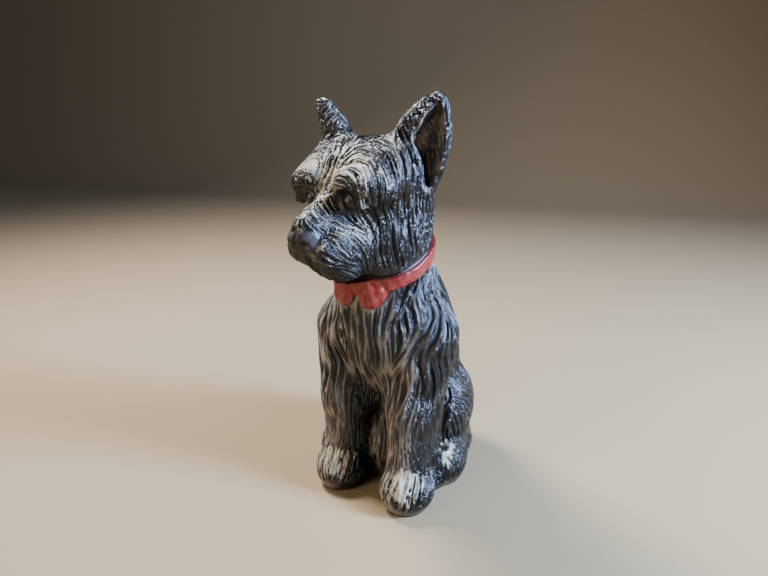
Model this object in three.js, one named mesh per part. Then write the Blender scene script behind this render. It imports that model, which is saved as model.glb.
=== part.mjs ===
// Seated terrier cast in concrete, with its collar and bow modelled on the coat.
// The whole figure is one casting, so it is one solid standing on a flat underside.
// Lengths are millimetres, +Z is up, the dog faces -Y and its own left side is +X.
import * as THREE from "three";

// Driving sizes
const HEIGHT = 380;
const COLLAR_WIDTH = 13;
const COLLAR_THICKNESS = 4;
const BOW_WIDTH = 60;
const BOW_HEIGHT = 26;
const BOW_THICKNESS = 8;
const TRIANGLES = 9600;

// The free form is sculpted in hundredths of the height
const UNIT = HEIGHT / 100;
const HEAD_YAW = (18 * Math.PI) / 180;
const HEAD_AXIS_X = -1.2;
const HEAD_AXIS_Y = -10;
const HEAD_COS = Math.cos(HEAD_YAW);
const HEAD_SIN = Math.sin(HEAD_YAW);
const BOW_PLACE = -2.9;

// Room that the sculpture fits in, the size of the cells that its skin is drawn with, and the size of
// the blocks of cells that are passed over where the skin is far away
const BOX = [
  [-24, -42, -2],
  [24, 34, 106],
];
const CELL = 0.75;
const BLOCK_SIZE = 3.75;

// Locks stand a little proud of the smooth form and the grooves between them cut into it
const LOCK_CREST = 0.25;
const LOCK_CUT = 1.2;

// Blending of two closeness values, k is the width of the fillet between them
function join(a, b, k) {
  const h = Math.max(k - Math.abs(a - b), 0) / k;
  return Math.min(a, b) - (h * h * k) / 4;
}

function cut(a, b, k) {
  return -join(-a, b, k);
}

function length(x, y, z) {
  return Math.sqrt(x * x + y * y + z * z);
}

// Distance to an egg shape with the half sizes rx, ry and rz
function egg(x, y, z, rx, ry, rz) {
  const k0 = length(x / rx, y / ry, z / rz);
  const k1 = length(x / (rx * rx), y / (ry * ry), z / (rz * rz));
  return k1 < 1e-9 ? -Math.min(rx, ry, rz) : (k0 * (k0 - 1)) / k1;
}

// A limb is a straight run whose radius goes from ra at a to rb at b
function limb(x, y, z, a, b, ra, rb) {
  const dx = b[0] - a[0];
  const dy = b[1] - a[1];
  const dz = b[2] - a[2];
  const run = dx * dx + dy * dy + dz * dz;
  const along = ((x - a[0]) * dx + (y - a[1]) * dy + (z - a[2]) * dz) / run;
  const t = Math.min(1, Math.max(0, along));
  return length(x - a[0] - t * dx, y - a[1] - t * dy, z - a[2] - t * dz) - ra - t * (rb - ra);
}

// Trunk: chest over the forelegs, belly, rump and neck
function trunk(x, y, z) {
  let d = egg(x - 0.4, y + 5.8, z - 43.4, 15.2, 14.8, 17);
  d = join(d, egg(x, y - 3, z - 30.5, 16.3, 16.6, 20), 6);
  d = join(d, egg(x, y - 10, z - 15, 15, 13.5, 17), 6);
  return join(d, neck(x, y, z), 7);
}

function neck(x, y, z) {
  return limb(x, y, z, [0.4, -8, 48], [0, -11.5, 68], 12.6, 10);
}

// One foreleg with its paw, side is +1 for the dog's left
function foreleg(x, y, z, side) {
  const step = side > 0 ? -2.1 : 2.1;
  const px = side * x;
  let d = limb(px, y - step * 0.4, z, [11, -9.5, 42], [9.8, -14, 24], 8.4, 6.6);
  d = join(d, limb(px, y - step, z, [9.8, -14, 24], [9.8, -17, 8], 6.4, 5.4), 3);
  // Feathering down the back of the leg reaches the ground
  d = join(d, limb(px, y - step, z, [10.4, -9, 28], [12, -8.6, 3], 4.6, 4.8), 3);
  return join(d, egg(px - 10, y - step + 18.2, z - 4.6, 6.9, 8, 6.6), 2.2);
}

function hindleg(px, y, z) {
  let d = egg(px - 11.8, y - 6, z - 16.4, 8.6, 13, 12.4);
  d = join(d, egg(px - 14.2, y - 0.6, z - 18, 5.8, 8, 8.6), 3);
  d = join(d, limb(px, y, z, [16, -2, 5], [14.8, 8, 5], 4.6, 5.4), 2.5);
  return join(d, egg(px - 16.2, y + 4.6, z - 4.6, 5, 6.8, 6.2), 1.8);
}

function headFrame(x, y) {
  const left = x - HEAD_AXIS_X;
  const back = y - HEAD_AXIS_Y;
  return [left * HEAD_COS - back * HEAD_SIN, -left * HEAD_SIN - back * HEAD_COS];
}

function skull(hx, hf, z) {
  const sx = Math.abs(hx);
  let d = egg(hx, hf - 2.2, z - 76.8, 13.2, 15.4, 14.2);
  d = join(d, egg(sx - 5, hf - 7.4, z - 82.6, 9, 9.4, 7.4), 4);
  d = join(d, egg(sx - 7.6, hf - 13.4, z - 80.6, 6.4, 6.4, 4.6), 3);
  // Hair in front of the ear root
  d = join(d, egg(sx - 12, hf - 6, z - 84.5, 3, 4, 5), 3);
  // Brow hair hangs over the outer corner of each eye
  d = join(d, limb(sx, hf, z, [5.4, 18.4, 82], [9.2, 18, 77], 2.6, 0.9), 1.6);
  return join(d, egg(sx - 7.4, hf - 3.4, z - 66.6, 6.6, 10, 10), 6);
}

function nosePad(hx, hf, z) {
  return egg(hx, hf - 25.8, z - 69.7, 4.1, 2.9, 2.8);
}

function muzzle(hx, hf, z) {
  const sx = Math.abs(hx);
  let d = egg(sx - 3.4, hf - 17.8, z - 67.4, 5, 7.8, 5);
  d = join(d, limb(hx, hf, z, [0, 15, 76.4], [0, 24.4, 72], 4.6, 3.5), 3);
  d = join(d, egg(hx, hf - 14.6, z - 63, 6.4, 6.4, 4.6), 3);
  return join(d, nosePad(hx, hf, z), 0.9);
}

// An ear is a broad leaf, thick at the root, with a cup scooped out of its outer front face.
// The cup leaves a thin rim all round, and a fringe of hair on the side towards the forehead.
const EAR_ROOT = new THREE.Vector3(10, 1.2, 84);
const EAR_TIP = new THREE.Vector3(17.8, 1.6, 99.9);
const EAR_AXIS = EAR_TIP.clone().sub(EAR_ROOT).normalize();
const EAR_LENGTH = EAR_TIP.distanceTo(EAR_ROOT);
const EAR_FACE = new THREE.Vector3(Math.sin(0.62), Math.cos(0.62), 0);
EAR_FACE.addScaledVector(EAR_AXIS, -EAR_FACE.dot(EAR_AXIS)).normalize();
const EAR_WIDE = EAR_AXIS.clone().cross(EAR_FACE);
const EAR_RIM = 1.5;
const EAR_FRINGE = 1.8;

function along(v, x, y, z) {
  return v.x * x + v.y * y + v.z * z;
}

// Where a point lies in an ear: share of its length, places across and through it, half sizes there
function earPlace(hx, hf, z) {
  const qx = Math.abs(hx) - EAR_ROOT.x;
  const qy = hf - EAR_ROOT.y;
  const qz = z - EAR_ROOT.z;
  const s = along(EAR_AXIS, qx, qy, qz) / EAR_LENGTH;
  const t = Math.min(1, Math.max(0, s));
  const taper = Math.pow(1 - t * t, 0.7);
  const wide = along(EAR_WIDE, qx, qy, qz);
  const deep = along(EAR_FACE, qx, qy, qz);
  return [s, wide, deep, 0.6 + 6.7 * taper, 1 + 3.4 * taper];
}

function earCup(hx, hf, z) {
  const [s, wide, deep, halfWide, halfDeep] = earPlace(hx, hf, z);
  const cupWide = halfWide - EAR_RIM - EAR_FRINGE / 2;
  const c = Math.sqrt(((wide + EAR_FRINGE / 2) / cupWide) ** 2 + ((deep - halfDeep * 0.7) / halfDeep) ** 2);
  const ends = Math.max(s - 0.93, -0.15 - s) * EAR_LENGTH;
  return Math.max((c - 1) * Math.min(cupWide, halfDeep), ends);
}

function ear(hx, hf, z) {
  const [s, wide, deep, halfWide, halfDeep] = earPlace(hx, hf, z);
  const k = Math.sqrt((wide / halfWide) ** 2 + (deep / halfDeep) ** 2);
  const ends = Math.max(s - 1, -0.5 - s) * EAR_LENGTH;
  const leaf = Math.max((k - 1) * Math.min(halfWide, halfDeep), ends);
  return cut(leaf, earCup(hx, hf, z), 0.8);
}

function head(x, y, z) {
  const [hx, hf] = headFrame(x, y);
  const sx = Math.abs(hx);
  let d = skull(hx, hf, z);
  d = join(d, muzzle(hx, hf, z), 3.5);
  d = join(d, ear(hx, hf, z), 2.5);
  d = cut(d, egg(sx - 5.8, hf - 21.6, z - 77.6, 3.4, 3.8, 2.8), 1.6);
  return join(d, egg(sx - 5.8, hf - 17.6, z - 77.6, 2, 2, 2), 0.3);
}

// Height above the sloping plane of the collar, which dips the way the head is turned
function aboveCollar(x, y, z) {
  const [, hf] = headFrame(x, y);
  return (z - 62 + 0.45 * hf) * 0.912;
}

// The bow is two hanging lobes side by side, seen flat on
function bowLobes(x, y, z) {
  const wide = Math.abs(x - BOW_PLACE) - (0.27 * BOW_WIDTH) / UNIT;
  const drop = (BOW_HEIGHT / 2 - COLLAR_WIDTH / 2 - 1) / UNIT;
  return egg(wide, 0, aboveCollar(x, y, z) + drop, (0.23 * BOW_WIDTH) / UNIT, 9, BOW_HEIGHT / 2 / UNIT);
}

function collarOutline(x, y, z) {
  const band = Math.abs(aboveCollar(x, y, z)) - COLLAR_WIDTH / 2 / UNIT;
  return y > -9 ? band : join(band, bowLobes(x, y, z), 0.8);
}

// The collar follows whatever surface lies under it, and each lobe of the bow is a pillow on it
function collar(x, y, z, under) {
  const bow = y > -9 ? 0 : smooth(0, -2, bowLobes(x, y, z));
  const thick = (COLLAR_THICKNESS + (BOW_THICKNESS - COLLAR_THICKNESS) * bow) / UNIT;
  return Math.max(under - thick, collarOutline(x, y, z));
}

function form(x, y, z) {
  const sx = Math.abs(x);
  let d = trunk(x, y, z);
  if (z < 54) d = join(d, foreleg(x, y, z, x < 0 ? -1 : 1), 4);
  if (z < 38) {
    d = join(d, hindleg(sx, y, z), 3);
    // Solid concrete left between the legs, and a short tail
    d = join(d, egg(x, y - 4, z - 8, 11, 18, 15), 3);
    d = join(d, limb(sx, y, z, [8, -14, 2], [13, 0, 2], 3.5, 3.5), 3);
    d = join(d, limb(x, y, z, [0, 20.5, 7], [0, 22.6, 19], 3.4, 2), 1.6);
    // A deep furrow parts the foreleg from the thigh
    d = cut(d, limb(sx, y, z, [15.2, -4.6, 27], [15.2, -7.4, 19], 1.2, 1.3), 1.4);
    d = cut(d, limb(sx, y, z, [15.2, -7.4, 19], [15.4, -7.6, 9.5], 1.3, 1.3), 1.4);
  }
  if (z > 50) d = join(d, head(x, y, z), 2.5);
  if (z > 46 && z < 74) d = join(d, collar(x, y, z, d), 0.5);
  return Math.max(d, -z);
}

// Corner patterns of a cell that would let two sheets of the surface touch along an edge or at a point
function pinched(mask) {
  const has = (c) => (mask >> c) & 1;
  for (let axis = 0; axis < 3; axis++) {
    const u = 1 << (axis + 1) % 3;
    const w = 1 << (axis + 2) % 3;
    for (const base of [0, 1 << axis]) {
      const corners = [base, base + u, base + u + w, base + w].map(has);
      const [a, b, c, d] = corners;
      if (a === c && b === d && a !== b) return true;
    }
  }
  const reached = (start) => {
    const seen = new Set([start]);
    for (const c of seen) {
      for (const bit of [1, 2, 4]) if (has(c ^ bit) === has(start)) seen.add(c ^ bit);
    }
    return seen.size;
  };
  const corners = [0, 1, 2, 3, 4, 5, 6, 7];
  return [0, 1].some((kind) => {
    const same = corners.filter((c) => has(c) === kind);
    return same.length > 0 && reached(same[0]) !== same.length;
  });
}

const PINCHED = Array.from({ length: 256 }, (_, mask) => pinched(mask));

// Fills pinched cells so that the surface is one closed skin
function mend(v, n, at, cell) {
  const corner = Array.from({ length: 8 }, (_, c) => at(c & 1, (c >> 1) & 1, (c >> 2) & 1));
  for (let again = true; again; ) {
    again = false;
    for (let k = 0; k < n[2] - 1; k++) {
      for (let j = 0; j < n[1] - 1; j++) {
        for (let i = 0; i < n[0] - 1; i++) {
          const here = at(i, j, k);
          let mask = 0;
          for (let c = 0; c < 8; c++) if (v[here + corner[c]] < 0) mask |= 1 << c;
          if (!PINCHED[mask]) continue;
          const open = corner.filter((o) => v[here + o] >= 0);
          open.sort((a, b) => v[here + a] - v[here + b]);
          v[here + open[0]] = -0.05 * cell;
          again = true;
        }
      }
    }
  }
}

// Surface of the form as squares between sampled cells
function surface(field, cell, box) {
  const n = [0, 1, 2].map((i) => Math.ceil((box[1][i] - box[0][i]) / cell) + 1);
  const at = (i, j, k) => (k * n[1] + j) * n[0] + i;
  const v = new Float32Array(n[0] * n[1] * n[2]);
  const block = Math.max(1, Math.round(BLOCK_SIZE / cell));
  const reach = block * cell * 1.6;
  for (let k = 0; k < n[2]; k += block) {
    for (let j = 0; j < n[1]; j += block) {
      for (let i = 0; i < n[0]; i += block) {
        const half = block / 2;
        const middle = field(...[i, j, k].map((w, c) => box[0][c] + (w + half) * cell));
        const far = Math.abs(middle) > reach;
        for (let kk = k; kk < Math.min(k + block, n[2]); kk++) {
          for (let jj = j; jj < Math.min(j + block, n[1]); jj++) {
            for (let ii = i; ii < Math.min(i + block, n[0]); ii++) {
              v[at(ii, jj, kk)] = far
                ? middle
                : field(box[0][0] + ii * cell, box[0][1] + jj * cell, box[0][2] + kk * cell);
            }
          }
        }
      }
    }
  }
  mend(v, n, at, cell);
  const index = new Int32Array(v.length).fill(-1);
  const points = [];
  const faces = [];
  for (let k = 0; k < n[2] - 1; k++) {
    for (let j = 0; j < n[1] - 1; j++) {
      for (let i = 0; i < n[0] - 1; i++) {
        const sum = [0, 0, 0];
        let count = 0;
        for (let e = 0; e < 12; e++) {
          const axis = e >> 2;
          const o = [0, 0, 0];
          o[(axis + 1) % 3] = e & 1;
          o[(axis + 2) % 3] = (e >> 1) & 1;
          const a = v[at(i + o[0], j + o[1], k + o[2])];
          const q = [...o];
          q[axis] = 1;
          const b = v[at(i + q[0], j + q[1], k + q[2])];
          if (a < 0 !== b < 0) {
            o[axis] = a / (a - b);
            for (let c = 0; c < 3; c++) sum[c] += o[c];
            count++;
          }
        }
        if (count) {
          index[at(i, j, k)] = points.length;
          points.push([i, j, k].map((w, c) => box[0][c] + (w + sum[c] / count) * cell));
        }
      }
    }
  }
  const step = [at(1, 0, 0), at(0, 1, 0), at(0, 0, 1)];
  for (let k = 1; k < n[2] - 1; k++) {
    for (let j = 1; j < n[1] - 1; j++) {
      for (let i = 1; i < n[0] - 1; i++) {
        const here = at(i, j, k);
        for (let axis = 0; axis < 3; axis++) {
          const inside = v[here] < 0;
          if (inside === v[here + step[axis]] < 0) continue;
          const p = step[(axis + 1) % 3];
          const q = step[(axis + 2) % 3];
          const ring = [index[here], index[here - p], index[here - p - q], index[here - q]];
          if (!inside) ring.reverse();
          faces.push([ring[0], ring[1], ring[2]], [ring[0], ring[2], ring[3]]);
        }
      }
    }
  }
  return { points, faces };
}

// Hair: which way it lies, and how long, wide and deep the carved locks are
function smooth(a, b, v) {
  const t = Math.min(1, Math.max(0, (v - a) / (b - a)));
  return t * t * (3 - 2 * t);
}

function slope(p) {
  const e = 0.05;
  const g = new THREE.Vector3(
    form(p.x + e, p.y, p.z) - form(p.x - e, p.y, p.z),
    form(p.x, p.y + e, p.z) - form(p.x, p.y - e, p.z),
    form(p.x, p.y, p.z + e) - form(p.x, p.y, p.z - e),
  );
  return g.normalize();
}

// Share of the way from the trunk's coat (0) to the head's (1) at a point
function headShare(x, y, z) {
  return smooth(0, 2, aboveCollar(x, y, z));
}

function lie(p) {
  const [hx, hf] = headFrame(p.x, p.y);
  const z = p.z;
  if (headShare(p.x, p.y, z) > 0.5) {
    const out = Math.max(-1, Math.min(1, hx / 3));
    const top = smooth(77, 82, z);
    const nose = smooth(13, 18, hf) * (1 - smooth(72, 77, z));
    const ears = smooth(88, 93, z) * smooth(9, 12, Math.abs(hx));
    // From the parting the hair rises, turns outwards and falls in arcs
    const rise = 1.2 - 2.6 * smooth(1, 12, Math.abs(hx));
    let left = out * (0.15 + (Math.cos(rise) - 0.15) * top + 0.35 * nose);
    let ahead = -0.1 - 0.8 * Math.max(0, Math.sin(rise)) * top - 0.9 * nose;
    let upward = -1 + (1 + Math.sin(rise)) * top;
    left = left * (1 - ears) + 0.4 * out * ears;
    ahead *= 1 - ears;
    upward = upward * (1 - ears) + ears;
    return new THREE.Vector3(
      left * HEAD_COS - ahead * HEAD_SIN,
      -left * HEAD_SIN - ahead * HEAD_COS,
      upward,
    );
  }
  const side = Math.sign(p.x);
  const paw = 1 - smooth(6, 12, z);
  const front = 1 - smooth(-14, -6, p.y);
  const inward = 0.25 * front * smooth(24, 34, z) * smooth(2, 8, Math.abs(p.x));
  const feather = (1 - smooth(26, 36, z)) * smooth(-15, -10, p.y) * (1 - smooth(-4, 0, p.y));
  const rump = (1 - smooth(26, 36, z)) * smooth(-4, 2, p.y);
  const back = 0.1 + 0.7 * feather + 0.35 * rump - 0.8 * paw * front;
  return new THREE.Vector3(-side * inward, back, -1);
}

// Long swaying waves run through the coat
function sway(p) {
  const wander = 1.4 * Math.sin(0.21 * p.x + 0.9) + 1.2 * Math.sin(0.17 * p.y);
  const flank = 0.4 + 0.6 * smooth(3, 9, Math.abs(p.x));
  const trunkWave = 0.5 * flank * Math.sin(0.42 * p.z + wander);
  const headWave = 0.13 * Math.sin(0.5 * p.z + wander);
  const leg = 1 - smooth(16, 32, p.z);
  const h = headShare(p.x, p.y, p.z);
  return trunkWave * (1 - 0.6 * leg) * (1 - h) + headWave * h;
}

function hairRun(p, normal) {
  const run = lie(p).projectOnPlane(normal).normalize();
  const across = normal.clone().cross(run);
  return run.addScaledVector(across, sway(p)).normalize();
}

// Spacing, length and depth of the grooves between locks
function coat(p) {
  const head = headShare(p.x, p.y, p.z);
  const leg = (1 - smooth(20, 36, p.z)) * (1 - head);
  const [hx, hf] = headFrame(p.x, p.y);
  const noseArea = head * (1 - smooth(0.1, 1, nosePad(hx, hf, p.z)));
  const eyeArea = head * (1 - smooth(2.2, 3, length(Math.abs(hx) - 5.8, hf - 18.5, p.z - 77.6)));
  const clearOfSkull = smooth(0.5, 1.5, skull(hx, hf, p.z));
  const cup = head * (1 - smooth(0.1, 0.6, earCup(hx, hf, p.z))) * clearOfSkull;
  const onCollar = p.z > 46 && p.z < 74 ? 1 - smooth(0.1, 1, collarOutline(p.x, p.y, p.z)) : 0;
  const calm = (1 - noseArea) * (1 - eyeArea) * (1 - onCollar) * (1 - cup) * smooth(0.6, 4, p.z);
  // The coat is cut shallower on the head, legs, ears, face, shins and bib than on the flanks
  const earArea = head * smooth(88, 92, p.z);
  const face = head * smooth(8, 14, hf);
  const shin = leg * (1 - smooth(-16, -10, p.y)) * smooth(8, 14, p.z);
  const bib = (1 - head) * (1 - leg) * (1 - smooth(3, 9, Math.abs(p.x))) * (1 - smooth(-10, -4, p.y));
  return {
    apart: 2.1 - 0.6 * head - 0.7 * leg,
    long: 30 - 8 * head - 14 * leg,
    deep:
      (0.95 - 0.35 * head - 0.4 * leg - 0.15 * earArea - 0.25 * face - 0.4 * shin - 0.4 * bib) * calm,
  };
}

// The same unordered numbers every time
function chance(seed) {
  const v = Math.sin(seed * 12.9898) * 43758.5453;
  return v - Math.floor(v);
}

function settle(p) {
  for (let i = 0; i < 2; i++) p.addScaledVector(slope(p), -form(p.x, p.y, p.z));
  return p;
}

// Things on the skin, kept by where they are so that near ones are found quickly
const ROOM = 2.6;
const ROOMS_ACROSS = 4001;

class Neighbours {
  constructor() {
    this.cells = new Map();
  }
  key(x, y, z) {
    const level = Math.floor(x / ROOM) * ROOMS_ACROSS + Math.floor(y / ROOM);
    return level * ROOMS_ACROSS + Math.floor(z / ROOM);
  }
  add(p, item) {
    const k = this.key(p.x, p.y, p.z);
    if (!this.cells.has(k)) this.cells.set(k, []);
    this.cells.get(k).push(item);
  }
  near(p) {
    const found = [];
    for (let c = 0; c < 27; c++) {
      const dx = ((c % 3) - 1) * ROOM;
      const dy = ((Math.floor(c / 3) % 3) - 1) * ROOM;
      const dz = (Math.floor(c / 9) - 1) * ROOM;
      const cell = this.cells.get(this.key(p.x + dx, p.y + dy, p.z + dz));
      if (cell) found.push(...cell);
    }
    return found;
  }
}

// Grooves are paths that follow the hair and keep their distance from each other.
// They are tried from a lattice of starts, visited in a scattered order by a stride through it.
const START_PITCH = 2;
const START_STRIDE = 7919;
const GROOVE_STEP = 0.8;
const LEAST_DEEP = 0.08;

function grooves() {
  const found = [];
  const taken = new Neighbours();
  const n = [0, 1, 2].map((i) => Math.floor((BOX[1][i] - BOX[0][i]) / START_PITCH));
  const crowded = (p, normal, gap) =>
    taken.near(p).some((o) => o.normal.dot(normal) > 0 && o.p.distanceTo(p) < gap);
  const total = n[0] * n[1] * n[2];
  for (let turn = 0; turn < total; turn++) {
    const place = (turn * START_STRIDE) % total;
    const i = place % n[0];
    const j = Math.floor(place / n[0]) % n[1];
    const k = Math.floor(place / (n[0] * n[1]));
    const seedPoint = new THREE.Vector3(
      BOX[0][0] + (i + chance(place)) * START_PITCH,
      BOX[0][1] + (j + chance(place + 0.31)) * START_PITCH,
      BOX[0][2] + (k + chance(place + 0.67)) * START_PITCH,
    );
    const off = Math.abs(form(seedPoint.x, seedPoint.y, seedPoint.z));
    if (seedPoint.z < 0.5 || off > START_PITCH * 0.6) continue;
    settle(seedPoint);
    const c = coat(seedPoint);
    if (c.deep < LEAST_DEEP || crowded(seedPoint, slope(seedPoint), c.apart)) continue;
    const half = (c.long * (0.5 + 0.6 * chance(place + 0.5))) / 2;
    const ends = [1, -1].map((way) => {
      const path = [];
      const p = seedPoint.clone();
      for (let run = 0; run < half; run += GROOVE_STEP) {
        const normal = slope(p);
        const here = coat(p);
        if (here.deep < LEAST_DEEP || crowded(p, normal, here.apart * 0.5)) break;
        path.push({ p: p.clone(), normal });
        p.addScaledVector(hairRun(p, normal), way * GROOVE_STEP);
        settle(p);
      }
      return path;
    });
    const path = [...ends[1].reverse(), ...ends[0].slice(1)];
    if (path.length < 4) continue;
    path.forEach((o) => taken.add(o.p, o));
    found.push({ path, depth: 0.55 + 0.45 * chance(place + 0.9) });
  }
  return found;
}

// How far each point sinks into the nearest groove: 1 at the bottom, 0 on the crest of a lock
function sink(points, normals, all) {
  const grid = new Neighbours();
  for (const g of all) {
    const last = g.path.length - 1;
    for (let q = 0; q < last; q++) {
      const a = g.path[q];
      const b = g.path[q + 1];
      const run = b.p.clone().sub(a.p);
      const long = run.length();
      run.divideScalar(long);
      grid.add(a.p, { a, run, long, across: a.normal.clone().cross(run), q, last, depth: g.depth });
    }
  }
  const off = new THREE.Vector3();
  return points.map((p, i) => {
    const half = coat(p).apart * 0.62;
    let most = 0;
    for (const o of grid.near(p)) {
      off.subVectors(p, o.a.p);
      if (normals[i].dot(o.a.normal) < 0.2) continue;
      const t = Math.min(1, Math.max(0, off.dot(o.run) / o.long));
      const s = (o.q + t) / o.last;
      const fade = Math.min(1, 5 * s, 3 * (1 - s));
      off.addScaledVector(o.run, -t * o.long).addScaledVector(o.a.normal, -off.dot(o.a.normal));
      const u = off.length() / (half * (off.dot(o.across) > 0 ? 0.7 : 1.3));
      if (u >= 1 || fade <= 0) continue;
      const w = 1 - u;
      most = Math.max(most, o.depth * fade * Math.pow(w, 1.6));
    }
    return most;
  });
}

// Thinning: short edges are closed up where that changes the shape least
function planeShare(a, b, c) {
  const n = b.clone().sub(a).cross(c.clone().sub(a));
  const area = n.length();
  if (area < 1e-12) return new Float64Array(10);
  n.divideScalar(area);
  const d = -n.dot(a);
  const q = [n.x, n.y, n.z, d];
  const out = new Float64Array(10);
  let at = 0;
  for (let i = 0; i < 4; i++) {
    for (let j = i; j < 4; j++) out[at++] = q[i] * q[j] * area;
  }
  return out;
}

function change(q, p) {
  const { x, y, z } = p;
  return (
    q[0] * x * x + q[4] * y * y + q[7] * z * z + q[9] +
    2 * (q[1] * x * y + q[2] * x * z + q[3] * x + q[5] * y * z + q[6] * y + q[8] * z)
  );
}

function bestPlace(q, a, b) {
  const m = new THREE.Matrix3().set(q[0], q[1], q[2], q[1], q[4], q[5], q[2], q[5], q[7]);
  const middle = a.clone().add(b).multiplyScalar(0.5);
  const size = q[0] + q[4] + q[7];
  if (Math.abs(m.determinant()) > 1e-5 * size ** 3) {
    const p = new THREE.Vector3(-q[3], -q[6], -q[8]).applyMatrix3(m.invert());
    if (p.distanceTo(middle) < 2 * a.distanceTo(b)) return p;
  }
  return [a, b, middle].sort((u, v) => change(q, u) - change(q, v))[0].clone();
}

class Queue {
  constructor() {
    this.items = [];
  }
  push(item) {
    const list = this.items;
    let i = list.push(item) - 1;
    while (i > 0) {
      const up = (i - 1) >> 1;
      if (list[up].cost <= item.cost) break;
      list[i] = list[up];
      i = up;
    }
    list[i] = item;
  }
  pop() {
    const list = this.items;
    const first = list[0];
    const item = list.pop();
    if (list.length) {
      let i = 0;
      for (;;) {
        let down = 2 * i + 1;
        if (down >= list.length) break;
        if (down + 1 < list.length && list[down + 1].cost < list[down].cost) down++;
        if (list[down].cost >= item.cost) break;
        list[i] = list[down];
        i = down;
      }
      list[i] = item;
    }
    return first;
  }
}

function thin(points, faces, target) {
  const share = points.map(() => new Float64Array(10));
  const around = points.map(() => new Set());
  const alive = faces.map(() => true);
  const version = new Int32Array(points.length);
  faces.forEach((f, i) => {
    const q = planeShare(points[f[0]], points[f[1]], points[f[2]]);
    for (const v of f) {
      around[v].add(i);
      for (let c = 0; c < 10; c++) share[v][c] += q[c];
    }
  });
  const ring = (v) => {
    const set = new Set();
    for (const i of around[v]) for (const w of faces[i]) if (w !== v) set.add(w);
    return set;
  };
  const queue = new Queue();
  const offer = (a, b) => {
    const q = share[a].map((w, c) => w + share[b][c]);
    const grounded = points[a].z === 0 || points[b].z === 0;
    const both = points[a].z === 0 && points[b].z === 0;
    let p = bestPlace(q, points[a], points[b]);
    if (both) p.z = 0;
    else if (grounded) p = (points[a].z === 0 ? points[a] : points[b]).clone();
    const cost = change(q, p) + 1e-7 * points[a].distanceToSquared(points[b]);
    queue.push({ a, b, p, cost, va: version[a], vb: version[b] });
  };
  points.forEach((_, v) => {
    for (const w of ring(v)) if (v < w) offer(v, w);
  });
  let left = faces.length;
  const before = new THREE.Vector3();
  const after = new THREE.Vector3();
  const side = new THREE.Vector3();
  const turn = (out, u, v, w) => out.subVectors(v, u).cross(side.subVectors(w, u));
  while (left > target && queue.items.length) {
    const { a, b, p, va, vb } = queue.pop();
    if (version[a] !== va || version[b] !== vb) continue;
    const ringB = ring(b);
    const common = [...ring(a)].filter((v) => ringB.has(v));
    const between = [...around[a]].filter((i) => around[b].has(i));
    if (common.length !== 2 || between.length !== 2) continue;
    const flips = [a, b].some((v) =>
      [...around[v]].some((i) => {
        if (between.includes(i)) return false;
        const f = faces[i];
        turn(before, points[f[0]], points[f[1]], points[f[2]]);
        const moved = f.map((w) => (w === v ? p : points[w]));
        turn(after, ...moved);
        return after.dot(before) < 0.3 * after.length() * before.length() || after.length() < 1e-4;
      }),
    );
    if (flips) continue;
    for (const i of between) {
      alive[i] = false;
      for (const w of faces[i]) around[w].delete(i);
    }
    for (const i of around[b]) {
      faces[i] = faces[i].map((w) => (w === b ? a : w));
      around[a].add(i);
    }
    around[b].clear();
    points[a].copy(p);
    for (let c = 0; c < 10; c++) share[a][c] += share[b][c];
    version[b] = -1;
    version[a]++;
    left -= 2;
    for (const w of ring(a)) offer(a, w);
  }
  return faces.filter((_, i) => alive[i]);
}

// The skin is drawn, its grooves are pressed in, and it is thinned and stood on its flat underside
function makeStatue() {
  const net = surface(form, CELL, BOX);
  const points = net.points.map((p) => new THREE.Vector3(...p));
  const normals = points.map((p) => slope(p));
  const depth = sink(points, normals, grooves());
  points.forEach((p, i) => {
    if (p.z < 0.3) {
      p.z = 0;
      return;
    }
    p.addScaledVector(normals[i], coat(p).deep * (LOCK_CREST - LOCK_CUT * depth[i]));
    p.z = Math.max(p.z, 0.02);
  });
  const faces = thin(points, net.faces, TRIANGLES);
  const used = [...new Set(faces.flat())];
  const place = new Map(used.map((v, i) => [v, i]));
  const geometry = new THREE.BufferGeometry();
  const places = used.flatMap((v) => points[v].toArray());
  geometry.setAttribute("position", new THREE.Float32BufferAttribute(places, 3));
  geometry.setIndex(faces.flat().map((v) => place.get(v)));
  geometry.computeBoundingBox();
  // The whole figure stands exactly HEIGHT tall with the origin under its middle
  const box = geometry.boundingBox;
  const grow = HEIGHT / box.max.z;
  geometry.translate(-(box.min.x + box.max.x) / 2, -(box.min.y + box.max.y) / 2, 0);
  geometry.scale(grow, grow, grow);
  geometry.computeVertexNormals();
  const paint = new THREE.MeshStandardMaterial({ color: "#22242a", roughness: 0.45, metalness: 0 });
  const statue = new THREE.Mesh(geometry, paint);
  statue.name = "dog_statue";
  return statue;
}

const group = new THREE.Group();
group.name = "concrete_dog_statue";
group.add(makeStatue());

export default group;
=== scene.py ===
# %% [markdown]
# A seated terrier cast in concrete, about 38 cm tall, of the kind that stands in a garden or on a step.
# The real one was poured in one piece in a rubber mould, painted black, dry-brushed with cream on the
# high places, and given a red collar and brown eyes by hand.
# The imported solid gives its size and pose. It is too coarse to show hair, so the same form is
# sculpted again here with fine locks, and that skin stands in for the solid.

# %% Load the frame
import math

import bpy
import numpy as np
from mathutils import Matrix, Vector, kdtree


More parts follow.
